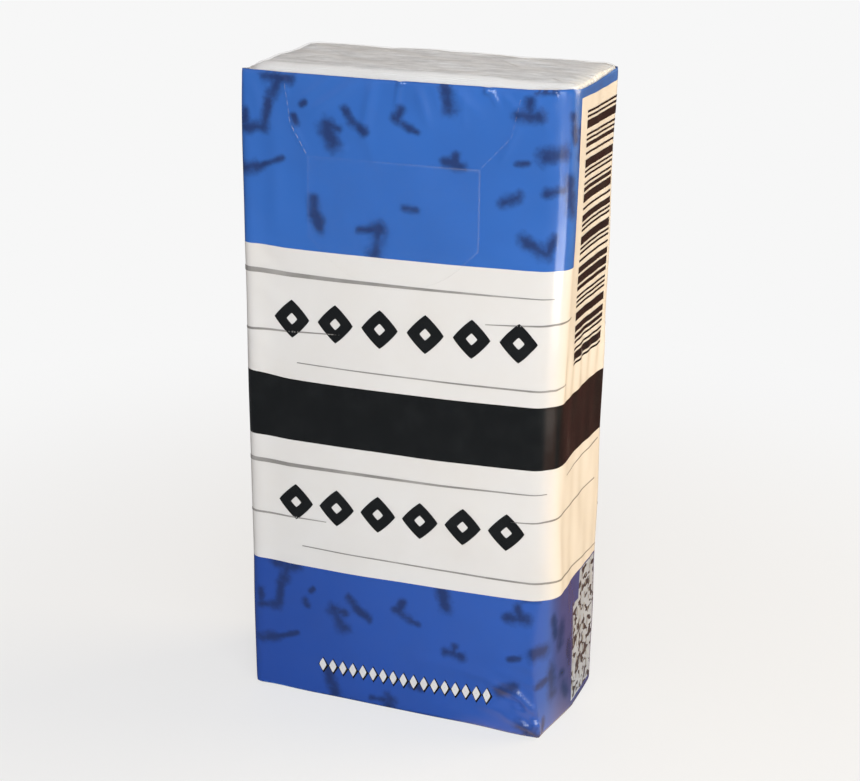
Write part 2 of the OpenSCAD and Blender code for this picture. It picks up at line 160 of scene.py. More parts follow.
# Creases of the film on the front: from a place to a place, width and height. A negative
# height is a dent.
CREASES = np.array([
    (-20, 106.8, -19.2, 103.8, 0.4, 0.16), (-18.9, 99.9, -16, 95.2, 0.5, 0.16),
    (-0.5, 107.6, -1.1, 103, 0.45, 0.3), (13.7, 107.6, 15.2, 104.8, 0.45, 0.3),
    (24, 107.8, 24.1, 106.4, 0.4, 0.12), (9.8, 105.4, 9.9, 101.4, 0.5, 0.12),
    (-4.9, 106.8, -6.6, 98.5, 0.9, 0.34), (-8.4, 106.2, -15, 101.8, 0.8, 0.28),
    (2.4, 106.4, 4.2, 101, 0.8, 0.24), (18.6, 102.4, 15.9, 96.6, 0.7, 0.22),
    (-21.6, 101.5, -21.5, 82.5, 1.6, 0.3), (-9.1, 96.5, -10.9, 95.1, 0.4, 0.12),
    (-12.4, 106.8, -17, 103.2, 0.7, 0.16), (5, 107.3, 6.4, 102.6, 0.6, 0.12),
    (-16.1, 94.5, -15.9, 85, 0.8, 0.12), (20.5, 107.2, 22.8, 101.8, 0.7, 0.16), (8, 107, 12.5, 103, 0.9, 0.16),
    (-6, 99, -4.6, 94.5, 1, 0.14), (16, 106.5, 19.5, 103, 0.7, 0.14), (-25, 105, -23.6, 99, 0.8, 0.14),
    (16.1, 8.8, 21, 7.6, 0.75, 0.45), (20.6, 7.8, 24.2, 4.6, 0.75, 0.6), (20.2, 5.6, 23, 4.4, 0.5, 0.45),
    (22.6, 4.6, 24.8, 2, 0.45, 0.45), (17.6, 6.4, 21.4, 5.6, 0.7, -0.35), (21, 6, 24.4, 3.2, 0.6, -0.45),
    (21.6, 2.6, 24.8, 0.9, 0.45, 0.4), (22.7, 0.8, 22.9, 0.6, 0.4, 0.4), (23.8, 2.2, 24, 2, 0.4, 0.45),
    (17.5, 11.4, 25.2, 9.4, 0.9, 0.22), (13.3, 107.6, 13.5, 106.5, 0.5, 0.6),
    (-0.3, 107.7, -0.4, 106.9, 0.45, 0.5), (24.1, 107.9, 24.1, 107.2, 0.4, 0.3),
    (-26, 74, -20.5, 70, 1.2, 0.18), (22, 1.4, 24, 0.4, 0.4, -0.2), (12, 9.8, 17, 9.4, 0.8, 0.14),
    (-24.5, 79, -20, 75.5, 1.1, -0.16), (-26.5, 66, -22.5, 61.5, 1.3, 0.14), (6, 3.2, 16, 1.6, 0.9, 0.14),
    (3, 10.6, 17, 10.2, 1.1, 0.22), (17.5, 13.6, 25, 12.2, 1.2, 0.25), (14, 4.6, 21, 3.4, 0.9, 0.3),
    (19, 3, 23.6, 1.4, 0.6, 0.35), (-10, 84, -2, 80.5, 1.4, 0.12), (14, 83, 22, 80, 1.4, 0.12),
    (-2, 90, 6, 93, 1.8, 0.1),
])


def creases(s, z):
    """Each crease is a bell across its line, and fades along it towards both ends."""
    total = np.zeros(np.broadcast(s, z).shape)
    for s0, z0, s1, z1, width, height in CREASES:
        run = np.array([s1 - s0, z1 - z0])
        length = np.hypot(*run)
        t = ((s - s0) * run[0] + (z - z0) * run[1]) / length ** 2
        across = ((s - s0) * run[1] - (z - z0) * run[0]) / length
        fade = smooth(-0.25, 0.2, t) * (1 - smooth(0.7, 1.25, t))
        total = total + height * np.exp(-((across / width) ** 2)) * fade
    return total


def standing_out(s, z):
    """How far the film stands out from the rounded section: the front and back are crowned, the
    right side is drawn in, the left edge swells, and ripples and creases lie over them."""
    s = once_round(s)
    tall = np.sin(np.pi * np.clip(z / TOP, 0, 1)) ** 0.6
    front = 0.55 * arch(s, 0, HALF_W) * tall
    back = 0.45 * arch(s, SEAM_S, HALF_W) * tall
    right = -0.45 * arch(s, HALF_W + HALF_D, HALF_D) * tall
    left = 0.25 * arch(s, ROUND - HALF_W - HALF_D, HALF_D) * tall
    left_edge = (0.3 + 0.5 * tall) * at_front_left(s, 2.6, 2.6)
    back_edge = 0.25 * smooth(96, 108, z) * bump(s, CORNER_S[1], 2.0)
    on_side = smooth(27, 31, s) * (1 - smooth(50, 53, s)) + smooth(105, 109, s) * (1 - smooth(125, 128, s))
    calm = smooth(0, 14, z) * (1 - 0.5 * smooth(64, 72, z))
    side = on_side * calm * ripple(s, z, [(0.035, 6.1, 61, 0.4), (0.02, 4.1, -57, 2.0), (0.05, 11, 23, 1.1)])
    side = side + on_side * 0.12 * bump(z, 62, 4) * np.sin(2 * np.pi * s / 4.1)
    toe = 0.45 * bump(s, 21, 6) * (1 - smooth(0, 13, z))
    faces = ripple(s, z, [(0.045, 31, 47, 0.3), (0.035, -23, 39, 1.9), (0.02, 13, 21, 4.0)])
    seam = 0.16 * smooth(-4.7, -4.3, s - SEAM_S) * (1 - smooth(3.2, 4.6, s - SEAM_S))
    rim = -0.14 * quarter((z - TOP + 1.2) / 1.2)
    foot = -0.3 * quarter((0.9 - z) / 0.9)
    edges = left_edge + back_edge + toe + seam + rim + foot
    return front + back + right + left + side + faces + edges + creases(s, z)


# The print's slant on the pack and the rim's unevenness, each at places on the way round
SLANT_S = [-27, -25, -23, -20, -15, -10, 0, 7, 15, 20, 23, 25.5, 28, 30.5, 39, 51, 78, 105, 117, 129]
SLANT = [0, -0.04, -0.18, -0.33, -0.32, -0.3, -0.16, -0.07, 0.13, 0.28, 0.38, 0.56, 0.54, 0.48, 0.5, 0.4, 0,
         -0.3, -0.3, 0]
RIM_S = [-27, -24, -20, 0, 10, 20, 24, 27, 31, 38, 45, 51, 54, 78, 102, 105, 109, 117, 125, 128, 129]
RIM_RISE = [-0.05, -0.1, -0.2, -0.15, -0.1, 0.02, 0.25, 0.32, 0, -0.15, 0, 0.3, 0.2, 0.1, 0, -0.2, -0.8,
            -0.9, -0.7, -0.2, -0.05]


def height_of(s, v):
    """Height of a printed point. The print lies a little askew on the pack, which fades out towards
    both ends; the rim is uneven and the foot is tucked up at the front left."""
    s = once_round(s)
    askew = np.interp(s, SLANT_S, SLANT) * smooth(0, 16, v) * (1 - smooth(88, 107, v))
    rim = np.interp(s, RIM_S, RIM_RISE) * smooth(96, 107.5, v)
    foot = 0.45 * at_front_left(s, 9, 9) * (1 - smooth(0, 10, v))
    on_panel = smooth(31, 51, s) * (1 - smooth(54, 62, s)) * (smooth(84, 100, v) - smooth(106.3, 107.5, v))
    band_end = at_front_left(s, 4.5, 3) * bump(v, 57.7, 2.2)
    return v + askew + rim + foot - 0.5 * on_panel + 0.5 * band_end


def skin(s, v, lift=0.0):
    """Point of the wrapper at s and v, lift above its surface along the section's normal."""
    s, v = np.broadcast_arrays(np.asarray(s, float), np.asarray(v, float))
    z = height_of(s, v)
    step = 0.05
    run = round_section(s + step, z) - round_section(s - step, z)
    run = run / np.linalg.norm(run, axis=-1, keepdims=True)
    normal = np.stack([run[..., 1], -run[..., 0]], -1)
    flat = round_section(s, z) + normal * (standing_out(s, z) + lift)[..., None]
    return np.concatenate([flat, z[..., None]], -1)


# Meshes


def grid_quads(rows, cols, wrap_rows=False, wrap_cols=False, start=0):
    """Quads of a grid of points, row by row, closed where it is wrapped."""
    r = np.arange(rows if wrap_rows else rows - 1)[:, None]
    c = np.arange(cols if wrap_cols else cols - 1)[None, :]
    up, on = (r + 1) % rows, (c + 1) % cols
    return np.stack([r * cols + c, r * cols + on, up * cols + on, up * cols + c], -1).reshape(-1, 4) + start


def slab(top, under, wrap_rows=False):
    """A thin closed solid between two grids of the same shape. The top grid's columns run along s
    and its rows along v, or they are turned round until they do."""
    rows, cols = top.shape[:2]
    n = rows * cols
    up = grid_quads(rows, cols, wrap_rows)
    down = up[:, ::-1] + n
    index = np.arange(n).reshape(rows, cols)
    if wrap_rows:
        loops = [index[::-1, 0], index[:, -1]]
    else:
        loops = [np.concatenate([index[0, :-1], index[:-1, -1], index[-1, :0:-1], index[:0:-1, 0]])]
    sides = []
    for loop in loops:
        on = np.roll(loop, -1)
        sides.append(np.stack([on, loop, loop + n, on + n], -1))
    return np.concatenate([top.reshape(-1, 3), under.reshape(-1, 3)]), np.concatenate([up, down, *sides])


def together(parts):
    """Joins several (points, faces) into one."""
    points, faces, start = [], [], 0
    for p, f in parts:
        points.append(p)
        faces.append(f + start)
        start += len(p)
    return np.concatenate(points), np.concatenate(faces)


def decal(s, v, lift=0.03, thick=0.03, wrap_rows=False):
    """A shape laid on the wrapper: a grid of printed points, closed between two lifts. The rows are
    turned round where the grid's area comes out negative, so that it faces outwards."""
    if wrap_rows:
        a, b = s[:, -1] - s.mean(), v[:, -1] - v.mean()
        area = (b * (np.roll(a, -1) - a) - a * (np.roll(b, -1) - b)).sum()
    else:
        area = np.diff(s).mean() * np.diff(v, axis=0).mean() - np.diff(v).mean() * np.diff(s, axis=0).mean()
    if area < 0:
        s, v = s[::-1], v[::-1]
    return slab(skin(s, v, lift + thick), skin(s, v, lift), wrap_rows)


def make_piece(name, points, faces, materials, looks=None, values=None, stands_for=(), slot=None, flat=False,
               recalculate=False, merge=0.0):
    """Puts worked-out points and faces into a new mesh object that rides on the pack."""
    mesh = bpy.data.meshes.new(name)
    mesh.from_pydata((np.asarray(points, float) * MM).tolist(), [], [list(map(int, f)) for f in faces])
    for material in materials:
        mesh.materials.append(material)
    if looks is not None:
        mesh.polygons.foreach_set("material_index", np.asarray(looks, np.int32))
    for key, data in (values or {}).items():
        mesh.attributes.new(key, "FLOAT", "POINT").data.foreach_set("value", np.asarray(data, np.float32))
    if merge or recalculate:
        work = bmesh.new()
        work.from_mesh(mesh)
        if merge:
            bmesh.ops.remove_doubles(work, verts=work.verts, dist=merge * MM)
        if recalculate:
            bmesh.ops.recalc_face_normals(work, faces=work.faces)
        work.to_mesh(mesh)
        work.free()
    mesh.polygons.foreach_set("use_smooth", np.full(len(mesh.polygons), not flat))
    mesh.update()
    piece = bpy.data.objects.new(name, mesh)
    bpy.context.scene.collection.objects.link(piece)
    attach(piece, BODY)
    if stands_for:
        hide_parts(*stands_for)
    return piece


# Materials


class Nodes:
    """Adds nodes to a new material or world and joins them."""

    def __init__(self, name, world=False):
        self.owner = (bpy.data.worlds if world else bpy.data.materials).new(name)
        self.owner.use_nodes = True
        self.tree = self.owner.node_tree
        self.tree.nodes.clear()
        self.output = self.add("OutputWorld" if world else "OutputMaterial")
        self.where = self.add("TexCoord").outputs["Generated" if world else "Object"]

    def add(self, kind, **settings):
        node = self.tree.nodes.new("ShaderNode" + kind)
        for key, value in settings.items():
            setattr(node, key, value)
        return node

    def fill(self, socket, content):
        """Joins a socket to another, or sets it to a plain number or colour."""
        if isinstance(content, bpy.types.NodeSocket):
            self.tree.links.new(content, socket)
        elif socket.type == "RGBA":
            socket.default_value = (*content[:3], 1)
        else:
            socket.default_value = content

    def fed(self, kind, contents, out=0, **settings):
        """Adds a node, fills its inputs by name or number, and gives one of its outputs."""
        node = self.add(kind, **settings)
        for key, content in contents.items():
            self.fill(node.inputs[key], content)
        return node.outputs[out]

    def noise(self, scale, detail=3.0, rough=0.55, warp=0.0, stretch=(1, 1, 1)):
        """Noise over the coordinates, which are stretched for each axis."""
        place = self.fed("Mapping", {"Vector": self.where, "Scale": stretch})
        return self.fed("TexNoise", {"Vector": place, "Scale": scale, "Detail": detail, "Roughness": rough,
                                     "Distortion": warp}, "Fac")

    def value(self, name):
        return self.fed("Attribute", {}, "Fac", attribute_type="GEOMETRY", attribute_name=name)

    def split(self):
        """The coordinates, one by one."""
        node = self.add("SeparateXYZ")
        self.fill(node.inputs[0], self.where)
        return node.outputs

    def maths(self, operation, a, b, c=0.0):
        """One sum of two or three sockets or plain numbers."""
        return self.fed("Math", {0: a, 1: b, 2: c}, operation=operation)

    def sum(self, a, b, share):
        """a + b times share."""
        return self.maths("MULTIPLY_ADD", b, share, a)

    def times(self, a, b):
        return self.maths("MULTIPLY", a, b)

    def ranged(self, value, low, high, to_low=0.0, to_high=1.0, kind="SMOOTHSTEP"):
        return self.fed("MapRange", {"Value": value, "From Min": low, "From Max": high, "To Min": to_low,
                                     "To Max": to_high}, interpolation_type=kind)

    def mix(self, share, a, b):
        """Mixes two colours, each a socket or a plain colour."""
        node = self.add("Mix", data_type="RGBA")
        self.fill(node.inputs["Factor"], share)
        for socket, colour in zip([i for i in node.inputs if i.type == "RGBA"], (a, b)):
            self.fill(socket, colour)
        return next(o for o in node.outputs if o.type == "RGBA")

    def bumped(self, height, strength, distance):
        return self.fed("Bump", {"Height": height, "Strength": strength, "Distance": distance})

    def principled(self, colour, roughness, contents):
        return self.fed("BsdfPrincipled", {"Base Color": colour, "Roughness": roughness, **contents})

    def either(self, share, a, b):
        """Mixes two shaders."""
        return self.fed("MixShader", {0: share, 1: a, 2: b})

    def finish(self, shader):
        self.fill(self.output.inputs["Surface"], shader)
        return self.owner


def film_gloss(nodes, colour):
    """The printed film's finish: thin gloss over the ink, with a slight orange-skin unevenness."""
    fine = nodes.noise(1200, 2.0)
    broad = nodes.noise(260, 2.0)
    normal = nodes.bumped(nodes.sum(fine, broad, 1.5), 0.05, 0.0001)
    rough = nodes.ranged(broad, 0.3, 0.7, 0.17, 0.25)
    return nodes.finish(nodes.principled(colour, rough, {"Normal": normal, "Specular IOR Level": 0.5}))


def blue_print(colours):
    """Blue with soft dark mottling. The mottling's strokes come as a distance in an attribute, whose
    edge a noise makes ragged. The lower field is painted darker on the left and brighter to the right,
    a painted light gradient, and duller and purplish on the right side, a painted tint for the warm side light."""
    nodes = Nodes("blue_print")
    ragged = nodes.sum(nodes.value("mottle"), nodes.noise(420, 3.0, 0.6), 1.3)
    dark = nodes.ranged(ragged, 0.6, 1.65, 0.0, 0.92)
    x = nodes.split()["X"]
    # Painted light gradient: the lower blue is painted darker on the left and brighter to the right, as the
    # light falls off from the right.
    left, right = (tuple(k * c for k, c in zip(tint, colours.low_blue))
                   for tint in ((0.85, 0.78, 0.84), (1.3, 1.2, 1.12)))
    painted_light_grade = nodes.mix(nodes.ranged(x, -0.027, 0.025, kind="LINEAR"), left, right)
    field = nodes.mix(nodes.value("low_field"), colours.blue, painted_light_grade)
    field = nodes.mix(nodes.ranged(nodes.noise(60, 2.0), 0.3, 0.8, 0.0, 0.14), field, colours.dark_blue)
    # Painted side light: at the right corner and on the side the lower blue is painted duller and purplish, as
    # it looks under the warm side light and its haze.
    painted_side_tint = nodes.times(nodes.ranged(x, 0.0250, 0.0266, 0.0, 0.52), nodes.value("low_field"))
    field = nodes.mix(painted_side_tint, field, (0.085, 0.05, 0.075))
    return film_gloss(nodes, nodes.mix(dark, field, colours.dark_blue))


def white_print(colours):
    """White with faint warm clouding."""
    nodes = Nodes("white_print")
    cloud = nodes.ranged(nodes.noise(70, 3.0), 0.3, 0.75, 0.0, 1.0)
    warm = tuple(k * c for k, c in zip((0.97, 0.96, 0.945), colours.white))
    return film_gloss(nodes, nodes.mix(cloud, colours.white, warm))


def notes_print(colours):
    """Grey-white, dotted with dark specks."""
    nodes = Nodes("notes_print")
    specks = nodes.ranged(nodes.noise(850, 1.0, 0.5, 0.0, (1.0, 0.7, 1.0)), 0.53, 0.575, 0.0, 0.92)
    cloud = nodes.ranged(nodes.noise(300, 3.0), 0.35, 0.65, 0.0, 0.4)
    pale = nodes.mix(cloud, (0.40, 0.47, 0.60), (0.52, 0.60, 0.76))
    return film_gloss(nodes, nodes.mix(specks, pale, (0.03, 0.025, 0.03)))


def black_print(colours):
    """Black, a little greyer where the ink is thin."""
    nodes = Nodes("black_print")
    thin = nodes.ranged(nodes.noise(260, 4.0, 0.6), 0.4, 0.8, 0.0, 0.35)
    pale = tuple(2 * c + 0.001 for c in colours.black)
    return film_gloss(nodes, nodes.mix(thin, colours.black, pale))


def grey_print(colours):
    """Grey lines whose strength varies along them."""
    nodes = Nodes("grey_print")
    weak = nodes.ranged(nodes.noise(160, 3.0), 0.35, 0.75, 0.0, 0.5)
    return film_gloss(nodes, nodes.mix(weak, colours.grey, tuple(2 * c for c in colours.grey)))


def clear_gloss(nodes, haze, edges, edge_haze):
    """Clear film: what shows through it, mixed with a gloss that grows at a flat angle and with a
    faint white haze, stronger where edges says that the film is cut or folded."""
    crinkle = nodes.noise(300, 4.0, 0.6, 0.8)
    normal = nodes.bumped(crinkle, 0.3, 0.0003)
    facing = nodes.fed("LayerWeight", {"Blend": 0.5, "Normal": normal}, "Facing")
    grazing = nodes.maths("POWER", facing, 5.0)
    cloudy = nodes.ranged(crinkle, 0.55, 0.75, haze, haze * 2.2)
    with_edge = nodes.sum(cloudy, edges, edge_haze)
    share = nodes.maths("MINIMUM", nodes.sum(with_edge, grazing, 0.22), 1.0)
    film = nodes.principled(nodes.mix(crinkle, (0.8, 0.82, 0.85), (0.92, 0.93, 0.95)), 0.12,
                            {"Normal": normal, "Specular IOR Level": 0.8})
    return nodes.finish(nodes.either(share, nodes.fed("BsdfTransparent", {}), film))


def label_sheet(_colours):
    """The label's clear sheet, whose rim shows as a faint white line: partly the cut rim itself, partly a
    painted highlight, stronger to the right and at the top.
    """
    nodes = Nodes("label_sheet")
    return clear_gloss(nodes, 0.002, nodes.value("edge"), 0.04)


def end_film(_colours):
    """The clear ends. Each flap's outline is a faint line: its sides obey |x| + y = 15 at the front
    flap and |x| - y = 15 at the back one, and its tip lies 7 beyond the middle. A strip along the front
    is hazier and whiter: partly the film folded double there, partly a painted light where the front
    light catches the stack's rounded front edge."""
    nodes = Nodes("end_film")
    place = nodes.split()
    across = nodes.maths("ABSOLUTE", place["X"], 0.0)
    side_sum, tip_depth, tip_half = 0.015, 0.007, 0.008
    lines = 0.0
    for way in (1.0, -1.0):
        deep = nodes.times(place["Y"], way)
        both = nodes.maths("ADD", across, deep)
        for measure, at, width, other, end in ((both, side_sum, 0.0006, deep, tip_depth),
                                               (deep, tip_depth, 0.0005, across, tip_half)):
            away = nodes.maths("ABSOLUTE", nodes.maths("SUBTRACT", measure, at), 0.0)
            near = nodes.ranged(away, 0.0001, width, 1.0, 0.0)
            line = nodes.times(near, nodes.maths("LESS_THAN", other, end))
            lines = nodes.maths("MAXIMUM", lines, line)
    patchy = nodes.times(lines, nodes.ranged(nodes.noise(120, 3.0), 0.45, 0.65))
    # Painted light along the front strip, over the film folded double there.
    double_fold_and_light = nodes.ranged(place["Y"], -0.0094, -0.0086, 0.9, 0.0)
    return clear_gloss(nodes, 0.012, nodes.maths("MAXIMUM", patchy, double_fold_and_light), 0.22)


def tissue_paper(colours):
    """Soft white paper: short fibres along the fold, fine crepe and faint shading between them. The
    folds next to the front are painted brighter: a painted light where the front light catches the
    stack's rounded front edge."""
    nodes = Nodes("tissue_paper")
    fibres = nodes.noise(900, 4.0, 0.65, 0.6, (0.25, 1.0, 0.6))
    crepe = nodes.noise(2200, 3.0, 0.6, 0.0, (1.0, 0.5, 1.0))
    mottled = nodes.noise(350, 3.0, 0.6, 0.3, (0.5, 1.0, 1.0))
    tone = nodes.ranged(nodes.sum(fibres, mottled, 0.8), 0.6, 1.15)
    colour = nodes.mix(tone, tuple(0.74 * c for c in colours.tissue), colours.tissue)
    # Painted light: the strip of folds next to the front is painted near white.
    painted_front_light = nodes.ranged(nodes.split()["Y"], -0.0096, -0.0084, 0.9, 0.0)
    colour = nodes.mix(painted_front_light, colour, (0.99, 0.985, 0.98))
    normal = nodes.bumped(nodes.sum(fibres, crepe, 0.7), 0.35, 0.0002)
    return nodes.finish(nodes.principled(colour, 0.9, {"Normal": normal, "Specular IOR Level": 0.15,
                                                       "Sheen Weight": 0.15}))


# Settings


class PackSizes(bpy.types.PropertyGroup):
    """Sizes of the film's mesh and print and of the tissues that a user may change."""

    grid: bpy.props.FloatProperty(
        name="Grid", description="Distance between two points of the wrapper's mesh, in millimetres",
        default=0.36, min=0.34, max=2.0)
    black_low: bpy.props.FloatProperty(
        name="Black band foot",
        description="Height of the black band's lower edge, in millimetres", default=47.1)
    black_high: bpy.props.FloatProperty(
        name="Black band top",
        description="Height of the black band's upper edge, in millimetres", default=57.7)
    white_low: bpy.props.FloatProperty(
        name="Lower blue top",
        description="Height at which the lower blue field ends, in millimetres", default=24.5)
    white_high: bpy.props.FloatProperty(
        name="Upper blue foot", description="Height at which the upper blue field begins, in millimetres",
        default=79.8)
    ornament_w: bpy.props.FloatProperty(
        name="Ornament width", description="Width of an ornament, in millimetres", default=6.2)
    ornament_h: bpy.props.FloatProperty(
        name="Ornament height", description="Height of an ornament, in millimetres", default=6.4)
    tissue_crown: bpy.props.FloatProperty(
        name="Tissue crown", description="Rise of the tissues towards the back, in millimetres", default=1.25)


class PrintColours(bpy.types.PropertyGroup):
    """Colours of the inks and the paper."""

    blue: bpy.props.FloatVectorProperty(
        name="Blue", description="Upper blue field", subtype="COLOR", size=3, min=0, max=1,
        default=(0.034, 0.144, 0.52))
    low_blue: bpy.props.FloatVectorProperty(
        name="Lower blue", description="Lower blue field", subtype="COLOR", size=3, min=0, max=1,
        default=(0.024, 0.092, 0.42))
    dark_blue: bpy.props.FloatVectorProperty(
        name="Dark blue", description="Mottling of the blue fields", subtype="COLOR", size=3, min=0, max=1,
        default=(0.016, 0.036, 0.135))
    white: bpy.props.FloatVectorProperty(
        name="White", description="White bands and panels", subtype="COLOR", size=3, min=0, max=1,
        default=(0.75, 0.75, 0.755))
    black: bpy.props.FloatVectorProperty(
        name="Black", description="Black band, ornaments and bars", subtype="COLOR", size=3, min=0, max=1,
        default=(0.008, 0.0095, 0.0105))
    grey: bpy.props.FloatVectorProperty(
        name="Grey", description="Rules and dashes", subtype="COLOR", size=3, min=0, max=1,
        default=(0.26, 0.255, 0.25))
    tissue: bpy.props.FloatVectorProperty(
        name="Tissue", description="Paper of the tissues", subtype="COLOR", size=3, min=0, max=1,
        default=(0.82, 0.825, 0.84))


def sizes():
    return bpy.context.scene.tissue_pack_sizes


def colours():
    return bpy.context.scene.tissue_pack_colours


def shared(make):
    """A material made once and then used again."""
    return bpy.data.materials.get(make.__name__) or make(colours())


# Wrapper

# Strokes of the mottling: from s and depth below the field's top, to s and depth, and half width
MOTTLE = np.array([
    (-23.1, 1.3, -19.3, 1.3, 0.72), (-20.9, 1.5, -21.9, 3.8, 0.72), (-22.5, 5, -23.2, 8.7, 0.54),
    (-23.3, 9.2, -26.4, 9.6, 0.58), (-26.4, 8.5, -26.3, 6.8, 0.4), (-18.2, 7.1, -17.8, 8.1, 0.4),
    (-16.9, 5.3, -16.4, 4.8, 0.27), (-12.7, 8.3, -11.5, 10.9, 0.99), (-13, 7.7, -10.7, 8.4, 0.4),
    (-9.9, 5.2, -8.5, 6.9, 0.49), (-8.5, 7.1, -6.3, 8.6, 0.49), (-0.2, 4.6, -0.8, 6.1, 0.45),
    (-1.4, 6.1, 1.2, 7.6, 0.45), (1.2, 7.6, 2.5, 8.1, 0.27), (6.8, 0.8, 7.6, 4.2, 0.81),
    (18.4, 4.3, 21.7, 4.3, 0.72), (20.4, 4.1, 20.1, 2.3, 0.54), (7, 12.3, 10, 12.7, 0.54),
    (8.6, 12.4, 8.7, 11.2, 0.45), (22.7, 10.5, 26, 9.9, 0.99), (18.2, 11.8, 20, 11.5, 0.27),
    (16.3, 18, 18.7, 16.8, 0.67), (23.1, 16.1, 26.2, 15.7, 0.49), (0.4, 19.9, 2.3, 20, 0.4),
    (-14.8, 19.8, -14.7, 22.3, 0.76), (-14.4, 22.3, -13.9, 24.5, 0.72), (-3.8, 23.6, -4.4, 27.5, 0.9),
    (-7.2, 23.9, -4.9, 23.8, 0.36), (19.6, 23.5, 23.4, 25.5, 0.76), (23.6, 25.3, 24.7, 22.9, 0.54),
    (-26.7, 16, -24.6, 15.6, 0.72), (-24.4, 15.5, -20.2, 13.8, 0.27), (27.6, 14.4, 28.4, 18.8, 1.15),
    (21.3, 0.5, 24.2, 0.6, 0.31), (28, 4.5, 28.8, 8, 0.6), (31.4, 7, 31, 10.5, 0.9), (34.8, 12, 35.4, 15, 0.9),
    (33, 19, 34.6, 21, 0.8), (31.6, 16.2, 32.8, 16.6, 0.5),
])


def mottling(s, v, top, slip=0.0):
    """1 on the middle of a stroke and 0 at its edge, and below that outside: one less than the
    distance to the nearest stroke in half widths, turned round. The strokes repeat on the back, and
    slip sideways by a share of their depth."""
    best = np.full(np.broadcast(s, v).shape, -9.0)
    for shift in (0.0, SEAM_S, ROUND, -SEAM_S):
        for s0, d0, s1, d1, half in MOTTLE:
            a, b = np.array([s0 + shift + slip * d0, top - d0]), np.array([s1 + shift + slip * d1, top - d1])
            run = b - a
            t = np.clip(((s - a[0]) * run[0] + (v - a[1]) * run[1]) / (run @ run), 0, 1)
            away = np.hypot(s - a[0] - t * run[0], v - a[1] - t * run[1])
            best = np.maximum(best, 1 - away / (half * 1.9 + 0.35))
    return best


def lines_between(low, high, step, also):
    """Grid lines from low to high about a step apart, that pass through the given places."""
    places = sorted({low, high, *[float(p) for p in also if low < p < high]})
    parts = [np.linspace(a, b, max(2, int(round((b - a) / step)) + 1))[:-1] for a, b in zip(places, places[1:])]
    return np.concatenate([*parts, [high]])


PANEL_S = HALF_W + 4.0
PANEL_END_S = CORNER_S[1] + 3.0
PANEL_TOP = TOP - 1.8
NOTES_S, NOTES_STEP_S, NOTES_END_S = HALF_W + 11.5, HALF_W + 14.6, CORNER_S[1] - 1.5
NOTES_LOW, NOTES_STEP_TOP, NOTES_TOP = 1.4, 19.0, 24.2
FILM_FOOT, FILM_RIM = 0.08, TOP - 0.35


def top_of_stack(x, y, crown):
    """Height of the tissues' upper ends: they rise towards the back, and round down at all edges."""
    near = np.clip((y + HALF_D - 0.2) / 3.1, 0, 1)
    rise = crown * (1 - (1 - near) ** 1.4)
    left = quarter((2.4 - (x + HALF_W - 0.9)) / 2.4)
    right = quarter((1.8 - (HALF_W - 0.4 - x)) / 1.8)
    back = quarter((1.5 - (HALF_D - 0.1 - y)) / 1.5)
    front = quarter((1.3 - (y + HALF_D - 0.1)) / 1.3)
    wavy = ripple(x, y, [(0.07, 37, 9, 0.5), (0.05, -21, 13, 2.1), (0.03, 11, 7, 0.9)])
    return TOP - 0.65 + rise + wavy - 1.1 * left - 0.7 * right - 0.6 * back - 0.3 * front


def end_cap(s_lines, v_rim, way, crown):
    """A clear end: rings that shrink from the rim to a ridge along the pack's middle, as
    P = rim (1 - t) + ridge t. Its height leaves the rim on a quarter round and then follows the
    tissues above, or lies a little over the floor below."""
    rim = skin(s_lines, np.full(len(s_lines), v_rim))
    ridge_x = np.clip(sharp_section(s_lines)[:, 0], HALF_D - HALF_W, HALF_W - HALF_D)
    ridge = np.stack([ridge_x, 0 * ridge_x], -1)
    deep = np.array([0, 0.15, 0.35, 0.6, 0.9, 1.3, 1.8, 2.4, 3.2, 4.2, 5.4, 6.8, 8.4, 10.2, 12.0])
    t = (deep / HALF_D)[:, None, None]
    flat = rim[None, :, :2] * (1 - t) + ridge[None] * t
    lean = np.sqrt(1 - (1 - np.clip(deep / 0.9, 0, 1)) ** 2)[:, None]
    if way > 0:
        over = top_of_stack(flat[..., 0], flat[..., 1], crown) + 0.12
        over = np.maximum(over, rim[None, :, 2] + 0.05 * lean)
    else:
        over = 0.22 + ripple(flat[..., 0], flat[..., 1], [(0.04, 17, 9, 0.3), (0.03, 7, -11, 1)])
    z = rim[None, :, 2] * (1 - lean) + over * lean
    return np.concatenate([flat, z[..., None]], -1)


